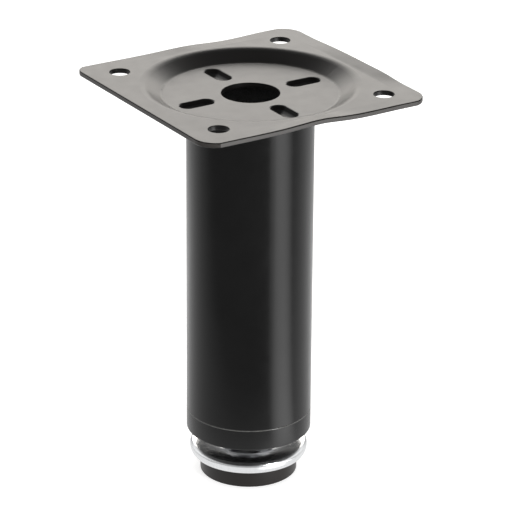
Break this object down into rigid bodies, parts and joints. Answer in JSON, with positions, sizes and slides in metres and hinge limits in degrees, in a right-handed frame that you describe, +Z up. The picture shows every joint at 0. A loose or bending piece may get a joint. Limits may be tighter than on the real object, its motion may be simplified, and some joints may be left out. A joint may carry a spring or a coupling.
{
  "type": "furniture leg",
  "caption": "Short round steel furniture leg with a square dished mounting plate and a screw-adjustable foot with a chromed cup and plastic glide.",
  "frame": {"origin": "centre of the glide pad's bottom face, on the floor", "axes": "+Z up along the tube, X and Y square to the mounting plate's sides"},
  "size_m": [0.1, 0.1, 0.1657],
  "materials": {
    "plate_coating": "semi-gloss black coating",
    "tube_coating": "gloss black coating",
    "insert_plastic": "satin black moulded plastic",
    "zinc_plated_steel": "bright zinc plating",
    "chromed_steel": "polished",
    "pad_plastic": "matt brownish black moulded plastic"
  },
  "bodies": {
    "leg": {"mounting_plate": "plate_coating", "leg_tube": "tube_coating", "end_insert": "insert_plastic", "insert_nut": "zinc_plated_steel"},
    "glide": {"glide_pad": "pad_plastic"},
    "screw_foot": {"stem": "zinc_plated_steel", "clamp_nut": "zinc_plated_steel", "foot_cup": "chromed_steel"}
  },
  "joints": [
    {"name": "foot_height", "type": "slide", "parent": "leg", "child": "glide", "axis": [0, 0, -1], "range_m": [-0.0033, 0.015]},
    {"name": "foot_turn", "type": "hinge", "parent": "glide", "child": "screw_foot", "pos_m": [0, 0, 0.01], "axis": [0, 0, -1], "range_deg": [-792, 3600]}
  ],
  "couplings": [
    {"joint": "foot_height", "follows": "foot_turn", "m_per_rad": 0.00023873}
  ]
}
